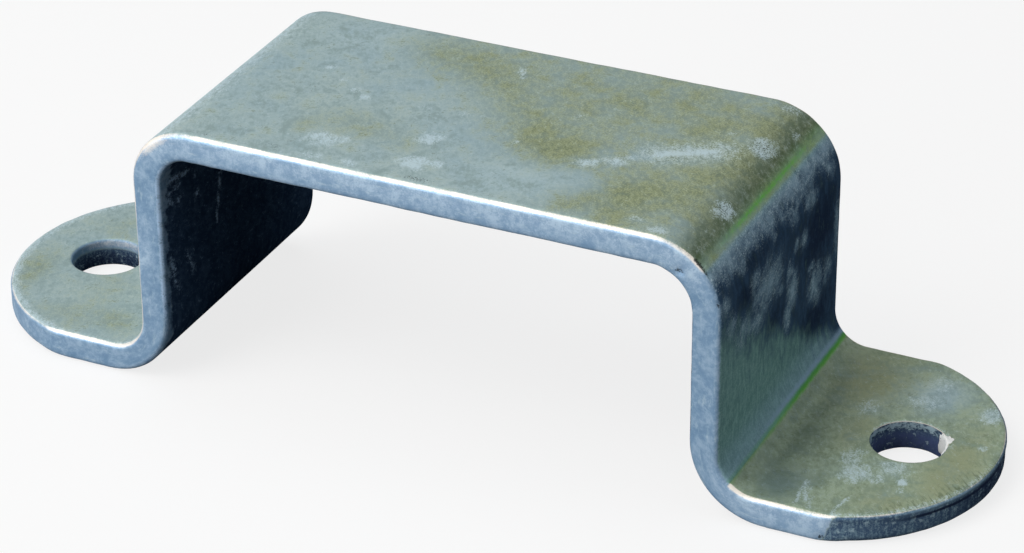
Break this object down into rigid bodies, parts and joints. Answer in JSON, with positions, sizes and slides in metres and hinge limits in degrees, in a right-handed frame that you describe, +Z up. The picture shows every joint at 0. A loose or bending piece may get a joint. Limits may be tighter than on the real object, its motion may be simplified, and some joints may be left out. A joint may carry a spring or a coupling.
{
  "type": "square post clamp",
  "caption": "Strap of galvanised flat bar folded into a hat over one side of a square post, with round-ended ears that bolt to a matching strap, sign or rail.",
  "frame": {"origin": "midway between the ears, on the plane that they stand on", "axes": "+X from ear to ear, towards the ear below the wider crown fold; +Y across the strap; +Z up, from the ears to the crown"},
  "size_m": [0.1362, 0.04, 0.0365],
  "materials": {
    "galvanised_steel": "hot-dip galvanised, weathered to a mottled matt grey with ochre stain"
  },
  "bodies": {
    "root": {"clamp_strap": "galvanised_steel"}
  },
  "joints": []
}
